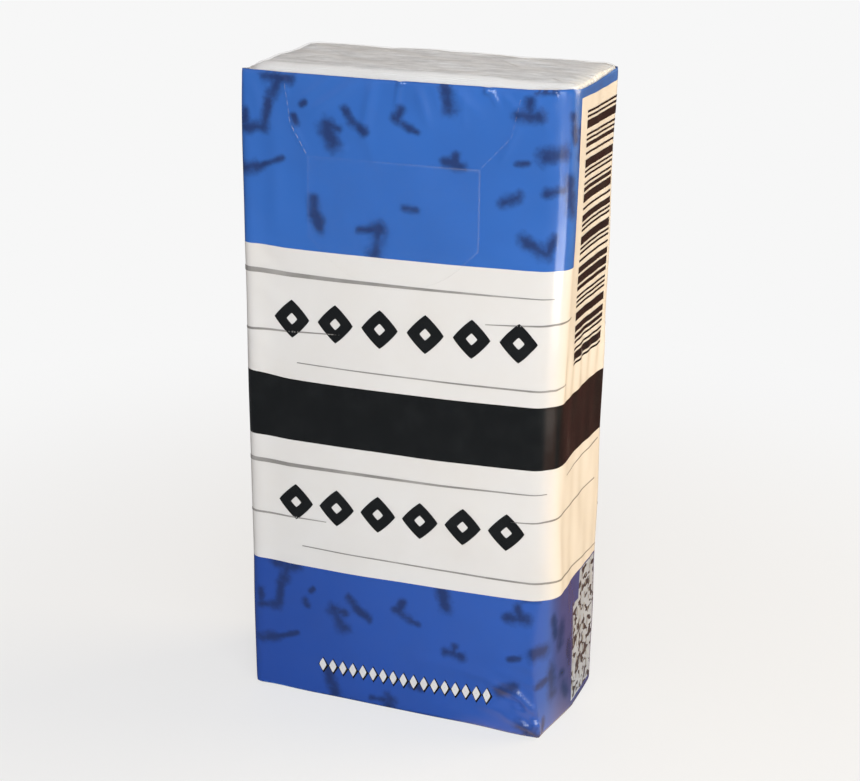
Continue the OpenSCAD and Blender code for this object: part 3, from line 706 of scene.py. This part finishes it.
def wrapper_mesh(crown):
    """One closed skin: the printed tube on its grid of s and v, a clear end above and one below.
    Each face takes the ink of the field that its middle lies in."""
    p = sizes()
    front = lines_between(CORNER_S[3] - ROUND, CORNER_S[0], p.grid, [])
    side = lines_between(CORNER_S[0], CORNER_S[1], 0.5, [PANEL_S, NOTES_S, NOTES_STEP_S, NOTES_END_S])
    back = lines_between(CORNER_S[1], CORNER_S[2], 1.0, [PANEL_END_S, SEAM_S - 4.7, SEAM_S - 4.3, SEAM_S + 4.6])
    left = lines_between(CORNER_S[2], CORNER_S[3], 0.6, [])
    s_lines = np.concatenate([front[:-1], side[:-1], back[:-1], left[:-1]])
    low = lines_between(FILM_FOOT, p.black_low, p.grid + 0.1,
                        [NOTES_LOW, NOTES_STEP_TOP, NOTES_TOP, p.white_low])
    middle = lines_between(p.black_low, p.white_high, 0.9, [p.black_high])
    high = lines_between(p.white_high, FILM_RIM, p.grid, [PANEL_TOP, FILM_RIM - 0.5])
    v_lines = np.concatenate([low[:-1], middle[:-1], high])
    s, v = np.meshgrid(s_lines, v_lines)
    tube = skin(s, v)
    rows, cols = s.shape
    top = end_cap(s_lines, FILM_RIM, 1, crown)
    foot = end_cap(s_lines, FILM_FOOT, -1, crown)[::-1]
    points = np.concatenate([foot.reshape(-1, 3), tube.reshape(-1, 3), top.reshape(-1, 3)])
    caps = grid_quads(len(foot), cols, wrap_cols=True)
    faces = np.concatenate([caps, grid_quads(rows, cols, wrap_cols=True, start=foot.shape[0] * cols),
                            caps + (foot.shape[0] + rows) * cols])
    quad_s = once_round(s[:-1] + (np.roll(s_lines, -1) - s_lines) % ROUND / 2)
    quad_v = (v[:-1] + v[1:]) / 2
    look = np.zeros(quad_s.shape, int)
    look[(quad_v > p.white_low) & (quad_v < p.white_high)] = 1
    look[(quad_v > p.black_low) & (quad_v < p.black_high)] = 2
    look[(quad_v > p.white_high) & (quad_v < PANEL_TOP) & (quad_s > PANEL_S) & (quad_s < PANEL_END_S)] = 1
    notes = (quad_v > NOTES_LOW) & (quad_v < p.white_low) & (quad_s < NOTES_END_S)
    look[notes & (quad_s > NOTES_STEP_S) & (quad_v < NOTES_TOP)] = 4
    look[notes & (quad_s > NOTES_S) & (quad_v < NOTES_STEP_TOP)] = 4
    ends = np.full(len(caps), 3)
    mottle = np.where(v > p.white_high - 1, mottling(s, v, TOP), mottling(s - 0.3, v, p.white_low + 0.8, 0.07))
    low = (v < p.white_low + 1).astype(float)
    blank = np.zeros(foot.shape[0] * cols)
    values = {
        "mottle": np.concatenate([blank, mottle.ravel(), blank]),
        "low_field": np.concatenate([blank, low.ravel(), blank]),
    }
    return points, faces, np.concatenate([ends, look.ravel(), ends]), values


class WrapFilm(bpy.types.Operator):
    """Wrap the printed film round the pack, with its clear folded ends"""

    bl_idname = "tissue_pack.wrap_film"
    bl_label = "Wrapper film"

    def execute(self, context):
        points, faces, look, values = wrapper_mesh(sizes().tissue_crown)
        materials = [shared(make) for make in (blue_print, white_print, black_print, end_film, notes_print)]
        make_piece("wrapper", points, faces, materials, look, values,
                   ["wrapper_film", "ink_white", "ink_blue", "ink_dark_blue"], "blue_ink", merge=0.001)
        return {"FINISHED"}


# Print that lies on the film

ORNAMENT_ROWS = ((36.1, 7.4, -0.2), (68.1, 7.7, 0.25))
# Rules on the front: s and height at both ends and the widths there
FRONT_RULES = [
    (-27.4, 75.5, 25.2, 75.4, 0.85, 0.12), (-27.4, 65.4, -10.6, 66.4, 0.42, 0.14),
    (14, 70.7, 27, 71.3, 0.14, 0.34), (-18.2, 60.7, 27, 60.4, 0.16, 0.32), (-27.4, 42.6, 25.8, 43, 0.75, 0.14),
    (-27.4, 33.1, -13.2, 33.3, 0.4, 0.14), (19, 38, 27, 38.3, 0.14, 0.3), (-17.7, 28.2, 27, 27.5, 0.16, 0.34),
]
SIDE_RULES = [
    (27, 71.3, 31.4, 71.6, 0.34, 0.22), (27, 60.4, 30.5, 60.9, 0.32, 0.12), (27, 38.3, 47.5, 38.9, 0.3, 0.2),
    (27, 27.5, 50, 25.9, 0.34, 0.2), (33, 44.6, 49, 45.6, 0.12, 0.24),
]


def strip(s0, v0, s1, v1, w0, w1, lift=0.03):
    """A rule from one printed point to another, whose width changes evenly on the way."""
    count = max(3, int(np.hypot(s1 - s0, v1 - v0) / 0.5))
    t = np.linspace(0, 1, count)[None, :]
    across = np.array([-0.5, 0, 0.5])[:, None]
    run = np.array([s1 - s0, v1 - v0]) / np.hypot(s1 - s0, v1 - v0)
    width = w0 + (w1 - w0) * t
    s = s0 + (s1 - s0) * t - across * width * run[1]
    v = v0 + (v1 - v0) * t + across * width * run[0]
    return decal(s, v, lift)


def lozenge(s, v, width, height, grow, points=48, power=1.12, **layer):
    """A lozenge, pierced in its middle: rings that grow from the inner outline to the outer one,
    whose points obey |x|/a + |y|/b = 1 to a power that softens the tips."""
    a = np.linspace(0, 2 * np.pi, points + 1)[:-1][:, None]
    reach = (np.abs(np.cos(a)) ** power + np.abs(np.sin(a)) ** power) ** (-1 / power) * grow
    return decal(s + reach * np.cos(a) * width / 2, v + reach * np.sin(a) * height / 2, wrap_rows=True, **layer)


def bar_widths(count, unit):
    """Widths and gaps of the bars, from plain remainders: every fifth bar is thick."""
    i = np.arange(count)
    width = unit * np.select([i % 5 == 2, (i % 7 == 0) & (i > 0), i % 6 == 5], [3.6, 2.8, 1.8], 1.0)
    return width, unit * (1.1 + 1.1 * ((3 * i + i * i) % 7 % 2))


class PrintOrnaments(bpy.types.Operator):
    """Lay the two rows of pierced ornaments and the side's bars on the wrapper"""

    bl_idname = "tissue_pack.print_ornaments"
    bl_label = "Ornaments and bars"

    def execute(self, context):
        p = sizes()
        parts = [lozenge((i - 2.5) * pitch + shift, v, p.ornament_w, p.ornament_h, np.linspace(0.3, 1, 7))
                 for v, pitch, shift in ORNAMENT_ROWS for i in range(6)]
        width, gap = bar_widths(50, 0.37)
        foot = PANEL_TOP - 2.3 - np.cumsum(width + gap) + gap
        for i in np.nonzero(foot > p.black_high + 4.5)[0]:
            s = np.linspace(HALF_W + 7.3, CORNER_S[1] - 0.2 - 2.6 * (i / 30) ** 0.7, 40)[None, :]
            v = np.array([foot[i], foot[i] + width[i] / 2, foot[i] + width[i]])[:, None]
            parts.append(decal(s + 0 * v, v + 0 * s))
        make_piece("black_figures", *together(parts), [shared(black_print)], stands_for=["ink_black"],
                   slot="black_ink", flat=True)
        return {"FINISHED"}


class PrintRules(bpy.types.Operator):
    """Lay the tapering rules and the notes panel's dashes on the wrapper"""

    bl_idname = "tissue_pack.print_rules"
    bl_label = "Rules and dashes"

    def execute(self, context):
        parts = [strip(*rule) for rule in FRONT_RULES + SIDE_RULES]
        parts += [strip(SEAM_S + s0, v0, SEAM_S + s1, v1, w0, w1) for s0, v0, s1, v1, w0, w1 in FRONT_RULES
                  if s1 < -5]
        for c in range(0, 12, 2):
            s = NOTES_S + 0.6 + c
            top = NOTES_TOP - 0.6 if s > NOTES_STEP_S else NOTES_STEP_TOP - 0.6
            v, k = NOTES_LOW + 0.6, 0
            while v < top - 0.8 and s < NOTES_END_S - 0.4:
                run = 0.5 + (c * 5 + k * 3) % 4 * 0.3
                parts.append(strip(s, v, s, min(v + run, top), 0.3, 0.3))
                v += run + 0.7 + (c + k) % 3 * 0.35
                k += 1
        make_piece("grey_lines", *together(parts), [shared(grey_print)], stands_for=["ink_grey"],
                   slot="grey_ink", flat=True)
        return {"FINISHED"}


class PrintSmallRow(bpy.types.Operator):
    """Lay a small row of plain white marks near the foot of the front"""

    bl_idname = "tissue_pack.print_small_row"
    bl_label = "Small row"

    def execute(self, context):
        places = np.linspace(-14.2, 15.6, 17)
        white = together([lozenge(s, 6.2, 1.3, 2.5, np.linspace(0.05, 1, 7)) for s in places])
        rings = np.array([0.05, 0.5, 1])
        shade = together([lozenge(s + 0.1, 6.1, 1.9, 3.2, rings, 24, 1, lift=0.01, thick=0.01) for s in places])
        make_piece("small_row", *white, [shared(white_print)], slot="white_ink", flat=True)
        make_piece("small_row_shade", *shade, [shared(black_print)], slot="black_ink", flat=True)
        return {"FINISHED"}


# Label and tear line


class SealLabel(bpy.types.Operator):
    """Lay the clear reseal label over the tear line"""

    bl_idname = "tissue_pack.seal_label"
    bl_label = "Reseal label"

    def execute(self, context):
        left, right = LABEL_LOW[0], LABEL_HIGH[0]
        low, high = LABEL_LOW[2], LABEL_HIGH[2]
        middle, half = (left + right) / 2, (right - left) / 2
        bow, chamfer = 5.2, 2.2
        bow_half = half - chamfer
        radius = (bow_half ** 2 + bow ** 2) / (2 * bow)
        off = np.concatenate([[0, 0.15, 0.3, 0.6, 1.0, 1.5, 1.85, chamfer, chamfer + 0.3],
                              np.linspace(chamfer + 0.9, half, 24)])
        x = np.concatenate([left + off, (right - off)[::-1][1:]])
        inner = np.abs(x - middle)
        arc = low + radius - np.sqrt(np.maximum(radius ** 2 - np.minimum(inner, bow_half) ** 2, 0))
        foot = np.where(inner > bow_half, low + bow + (inner - bow_half), arc)
        share = np.array([0, 0.008, 0.016, *np.linspace(0.04, 0.96, 34), 0.984, 0.992, 1])[:, None]
        v = foot[None] + (high - foot[None]) * share
        s = np.broadcast_to(x[None], v.shape)
        inside = np.minimum(np.minimum(s - left, right - s), np.minimum(high - v, v - foot[None]))
        edge = 1 - smooth(0.1, 0.34, inside)
        # Painted highlight in part: the rim's white line is painted stronger to the right and towards the top,
        # where the rim catches the light.
        plain = edge * (0.3 + 0.7 * smooth(middle - 4, right - 4, s)) * (0.35 + 0.65 * smooth(low, low + 9, v))
        top = skin(s, v, 0.09 + 0.02 * edge)
        under = skin(s, v, 0.05)
        points, faces = slab(top, under)
        make_piece("label", points, faces, [shared(label_sheet)],
                   values={"edge": np.concatenate([plain.ravel(), plain.ravel()])}, stands_for=["reseal_label"],
                   slot="label_film")
        return {"FINISHED"}


class CutTearLine(bpy.types.Operator):
    """Mark the tear line's cuts, which rise from the label's upper corners to the rim"""

    bl_idname = "tissue_pack.cut_tear_line"
    bl_label = "Tear line"

    def execute(self, context):
        parts, strength = [], []
        # The last number of each run is how white its cuts show. The cuts are real; their whiteness is a
        # painted glint, strongest low on the left and faint on the right, as the light catches them.
        for a, b, painted_glint in (((-16.1, 95.3), (-18.9, 99.9), 5.0), ((-18.9, 99.9), (-19.9, 107.2), 2.5),
                             ((12.9, 95.4), (17.4, 100.2), 1.5), ((17.4, 100.2), (18.9, 107.2), 1.0)):
            a, b = np.array(a), np.array(b)
            run = np.hypot(*(b - a))
            for i in range(int(run / 1.3)):
                start = a + (b - a) * i * 1.3 / run
                stop = start + (b - a) * 0.85 / run
                parts.append(strip(*start, *stop, 0.10, 0.10, lift=0.02))
                strength.append(np.full(len(parts[-1][0]), painted_glint))
        make_piece("tear_cuts", *together(parts), [shared(label_sheet)],
                   values={"edge": np.concatenate(strength)}, slot="clear_film", flat=True)
        return {"FINISHED"}


# Tissues


def folded_path(width, thick):
    """The line that a tissue's paper follows, seen from above: four layers joined by half circles,
    the outer one round the inner one on the right and one more on the left."""
    pitch = thick / 4
    layer = (np.arange(4) - 1.5) * pitch
    right, left = width / 2 - thick / 4, -width / 2 + pitch / 2
    turn = np.linspace(0, np.pi, 9)[1:-1]

    def run(x0, x1, y):
        x = np.linspace(x0, x1, 26)
        return np.stack([x, np.full(26, y)], -1)

    def bend(x, y0, y1, way):
        middle, radius = (y0 + y1) / 2, abs(y1 - y0) / 2
        up = 1 if y1 > y0 else -1
        return np.stack([x + way * 0.4 * radius * np.sin(turn) ** 0.7, middle - up * radius * np.cos(turn)], -1)

    return np.concatenate([
        run(left, right, layer[0]), bend(right, layer[0], layer[3], 1), run(right, left, layer[3]),
        bend(left, layer[3], layer[2], -1), run(left, right, layer[2]), bend(right, layer[2], layer[1], 1),
        run(right, left, layer[1]),
    ])


def room_inside(levels):
    """Places of the film's left and right walls for each height (rows) and depth y (columns)."""
    depths = np.linspace(-HALF_D, HALF_D, 97)
    walls = []
    for z in levels:
        row = []
        for low, high in ((8.0, CORNER_S[1] + 20), (CORNER_S[2] - 20, ROUND - 8.0)):
            s = np.linspace(low, high, 900)
            place = round_section(s, z)
            step = round_section(s + 0.05, z) - round_section(s - 0.05, z)
            normal = np.stack([step[:, 1], -step[:, 0]], -1) / np.linalg.norm(step, axis=1)[:, None]
            place = place + normal * (np.minimum(standing_out(s, z), 0.3) - 0.3)[:, None]
            order = np.argsort(place[:, 1])
            row.append(np.interp(depths, place[order, 1], place[order, 0]))
        walls.append(row)
    walls = np.array(walls)
    return depths, walls[:, 1], walls[:, 0]


def tissue_mesh(index, count, crown, levels, room):
    """A rounded upright section carried along the folded path. Its ends keep inside the film at
    every height, and its upper end follows the stack's top."""
    depths, left, right = room
    deep = 2 * (HALF_D - 0.35)
    thick = deep / count
    y_middle = -HALF_D + 0.35 + (index + 0.5) * thick
    path = folded_path(2 * HALF_W, thick * 0.985)
    path = path + np.array([0, y_middle])
    along = np.gradient(path, axis=0)
    along = along / np.linalg.norm(along, axis=1, keepdims=True)
    out = np.stack([along[:, 1], -along[:, 0]], -1)
    layer = thick / 4 * 0.97
    over = np.linspace(np.pi, 0, 9)
    under = np.linspace(0, -np.pi, 5)
    wall = levels[1:-1]
    off = np.concatenate([np.cos(over), np.ones(len(wall)), np.cos(under), -np.ones(len(wall))]) * layer / 2
    rise = np.concatenate([np.sin(over) * 0.16 - 0.16, 0 * wall, np.sin(under) * 0.1 + 0.1, 0 * wall])
    base = np.concatenate([np.full(9, levels[-1]), wall[::-1], np.full(5, levels[0]), wall])
    x = path[:, :1] + out[:, :1] * off
    y = path[:, 1:] + out[:, 1:] * off
    row = np.searchsorted(levels, base)
    least, most = np.empty_like(x), np.empty_like(x)
    for k in np.unique(row):
        pick = row == k
        least[:, pick] = np.interp(y[:, pick], depths, left[k])
        most[:, pick] = np.interp(y[:, pick], depths, right[k])
    x = least + (x + HALF_W) / (2 * HALF_W) * (most - least)
    wander = 0.05 * np.sin(path[:, :1] * 0.5 + index * 1.7) + 0.04 * np.sin(path[:, :1] * 1.9 + index)
    high = top_of_stack(x, y, crown) + wander - 0.05
    z = np.where(base == levels[-1], high, base) + rise
    points = np.stack([x, y, z], -1)
    rows, cols = x.shape
    faces = [list(f) for f in grid_quads(rows, cols, wrap_cols=True)]
    faces += [list(range(cols)), list(range((rows - 1) * cols, rows * cols))]
    return points.reshape(-1, 3), faces


class FoldTissues(bpy.types.Operator):
    """Fold the tissues and stack them in the wrapper"""

    bl_idname = "tissue_pack.fold_tissues"
    bl_label = "Tissues"

    def execute(self, context):
        paper = shared(tissue_paper)
        levels = np.array([0.75, 4, 8, 12, 18, 25, 36, 47, 58, 69, 80, 90, 98, 103, 106.5])
        room = room_inside(levels)
        for i, node in enumerate(TISSUE_NODES):
            points, faces = tissue_mesh(i, len(TISSUE_NODES), sizes().tissue_crown, levels, room)
            make_piece(f"folded_{node}", points, faces, [paper], stands_for=[node], slot="tissue",
                       recalculate=True)
        return {"FINISHED"}


# Stage


def way_out(azimuth, elevation):
    """The way from the pack's middle towards two angles, which are given in degrees."""
    a, e = np.radians([azimuth, elevation])
    return Vector((np.sin(a) * np.cos(e), -np.cos(a) * np.cos(e), np.sin(e)))


def lamp(name, azimuth, elevation, distance, size, power, colour, tall=None):
    """A soft rectangular lamp that looks at the pack's middle."""
    back = way_out(azimuth, elevation)
    data = bpy.data.lights.new(name, "AREA")
    data.shape, data.size, data.size_y = "RECTANGLE", size, tall or size
    data.energy, data.color = power, colour
    light = bpy.data.objects.new(name, data)
    light.location = Vector((0, 0, TOP * MM / 2)) + back * distance
    light.rotation_mode = "QUATERNION"
    light.rotation_quaternion = (-back).to_track_quat("-Z", "Y")
    bpy.context.scene.collection.objects.link(light)
    return light


class SetStage(bpy.types.Operator):
    """Set up the floor, the lamps and the camera"""

    bl_idname = "tissue_pack.set_stage"
    bl_label = "Stage"

    def execute(self, context):
        scene = context.scene
        reach = 3.0
        mesh = bpy.data.meshes.new("floor")
        corners = [(x * reach, y * reach, 0) for x, y in ((-1, -1), (1, -1), (1, 1), (-1, 1))]
        mesh.from_pydata(corners, [], [(0, 1, 2, 3)])
        floor = bpy.data.objects.new("floor", mesh)
        scene.collection.objects.link(floor)
        pale = Nodes("pale_floor")
        cloud = pale.ranged(pale.noise(3, 2.0), 0.3, 0.7)
        path = pale.add("LightPath").outputs
        place = pale.split()
        plain = pale.mix(cloud, (0.84, 0.84, 0.84), (0.87, 0.87, 0.87))
        # Painted warm light: for bounced light only, the floor right of the pack is painted orange, so that it
        # throws warm light onto the pack's right side; the camera never sees it.
        painted_warm_bounce = pale.times(pale.ranged(place["X"], 0.022, 0.05), path["Is Diffuse Ray"])
        lit = pale.principled(pale.mix(painted_warm_bounce, plain, (0.88, 0.62, 0.34)), 0.7, {"Specular IOR Level": 0.2})
        backdrop = pale.fed("Emission", {"Color": (0.93, 0.93, 0.93)})
        # Painted reflection: seen in reflections only, the floor glows, warm and bright in a wedge to the right
        # front near the pack, which paints the pale highlight on the front right corner, and dark grey to brown
        # elsewhere, which paints the dark reflections on the sides.
        turn = pale.maths("ARCTAN2", place["X"], pale.times(place["Y"], -1.0))
        corner = pale.times(pale.ranged(turn, 0.55, 0.95), pale.ranged(turn, 1.35, 1.75, 1.0, 0.0))
        behind = pale.mix(pale.ranged(turn, 1.6, 2.2), (0.10, 0.10, 0.11), (0.15, 0.05, 0.04))
        away = pale.fed("VectorMath", {0: pale.where}, "Value", operation="LENGTH")
        beside = pale.mix(pale.ranged(away, 0.09, 0.13), (1.0, 0.72, 0.5), (0.55, 0.24, 0.17))
        painted_reflection = pale.fed("Emission", {"Color": pale.mix(corner, behind, beside)})
        share = pale.times(pale.ranged(away, 0.03, 0.2, 0.68, 1.0), path["Is Camera Ray"])
        both = pale.either(share, lit, backdrop)
        floor.data.materials.append(pale.finish(pale.either(path["Is Glossy Ray"], both, painted_reflection)))

        sky = Nodes("studio", world=True)
        warm = sky.ranged(sky.split()["X"], 0.35, 0.95)
        soft = sky.fed("Background", {0: sky.mix(warm, (0.93, 0.83, 0.78), (0.0, 0.0, 0.0)), 1: 0.42})
        white = sky.fed("Background", {0: (1.0, 1.0, 1.0), 1: 1.0})
        rays = sky.add("LightPath").outputs
        bare = sky.maths("MAXIMUM", rays["Is Camera Ray"], rays["Is Transmission Ray"])
        scene.world = sky.finish(sky.either(bare, soft, white))

        lamp("front_lamp", 20, 22, 0.6, 0.3, 1.34, (0.90, 0.96, 1))
        lamp("near_lamp", 34, 24, 0.2, 0.12, 0.165, (0.90, 0.97, 1))
        lamp("right_lamp", 122, 14, 0.6, 0.4, 3.75, (1, 0.82, 0.535))
        gleam = lamp("corner_gleam", 58, 0, 0.15, 0.11, 0.105, (1, 0.97, 0.88), 0.035)
        gleam.location.z = 0.045
        gleam.visible_diffuse = False

        # The camera fitted to the photo: its angles, its length in picture points and its distance
        azimuth, elevation, roll = 20.5, 19.6, np.radians(0.65)
        focal_points, picture_width, distance = 1820, 860, 0.303
        back = way_out(azimuth, elevation)
        right = way_out(azimuth + 90, 0)
        turned = right * np.cos(roll) + back.cross(right) * np.sin(roll)
        data = bpy.data.cameras.new("camera")
        data.lens, data.sensor_width = focal_points * 36 / picture_width, 36
        data.clip_start, data.clip_end = 0.02, 20
        camera = bpy.data.objects.new("camera", data)
        scene.collection.objects.link(camera)
        place = Vector((0, 0, 0.054)) + back * distance + turned * 0.00033
        axes = Matrix((turned, back.cross(turned), back)).transposed()
        camera.matrix_world = Matrix.Translation(place) @ axes.to_4x4()
        scene.camera = camera
        scene.view_settings.view_transform = "Standard"
        return {"FINISHED"}


PIECE_OPERATORS = (WrapFilm, PrintOrnaments, PrintRules, PrintSmallRow, SealLabel, CutTearLine, FoldTissues,
                   SetStage)


class TissuePackPanel(bpy.types.Panel):
    """Lists the steps that build the pack"""

    bl_idname = "VIEW3D_PT_tissue_pack"
    bl_label = "Tissue pack"
    bl_space_type = "VIEW_3D"
    bl_region_type = "UI"
    bl_category = "Tissue pack"

    def draw(self, context):
        for group in (context.scene.tissue_pack_sizes, context.scene.tissue_pack_colours):
            for key in group.bl_rna.properties.keys():
                if key not in ("rna_type", "name"):
                    self.layout.prop(group, key)
        for operator in PIECE_OPERATORS:
            self.layout.operator(operator.bl_idname)


CLASSES = (PackSizes, PrintColours, *PIECE_OPERATORS, TissuePackPanel)


def register():
    for item in CLASSES:
        bpy.utils.register_class(item)
    bpy.types.Scene.tissue_pack_sizes = bpy.props.PointerProperty(type=PackSizes)
    bpy.types.Scene.tissue_pack_colours = bpy.props.PointerProperty(type=PrintColours)


def unregister():
    del bpy.types.Scene.tissue_pack_sizes
    del bpy.types.Scene.tissue_pack_colours
    for item in reversed(CLASSES):
        bpy.utils.unregister_class(item)


def main():
    register()
    bpy.ops.tissue_pack.wrap_film()
    bpy.ops.tissue_pack.print_ornaments()
    bpy.ops.tissue_pack.print_rules()
    bpy.ops.tissue_pack.print_small_row()
    bpy.ops.tissue_pack.seal_label()
    bpy.ops.tissue_pack.cut_tear_line()
    bpy.ops.tissue_pack.fold_tissues()
    bpy.ops.tissue_pack.set_stage()


if __name__ == "__main__":
    main()
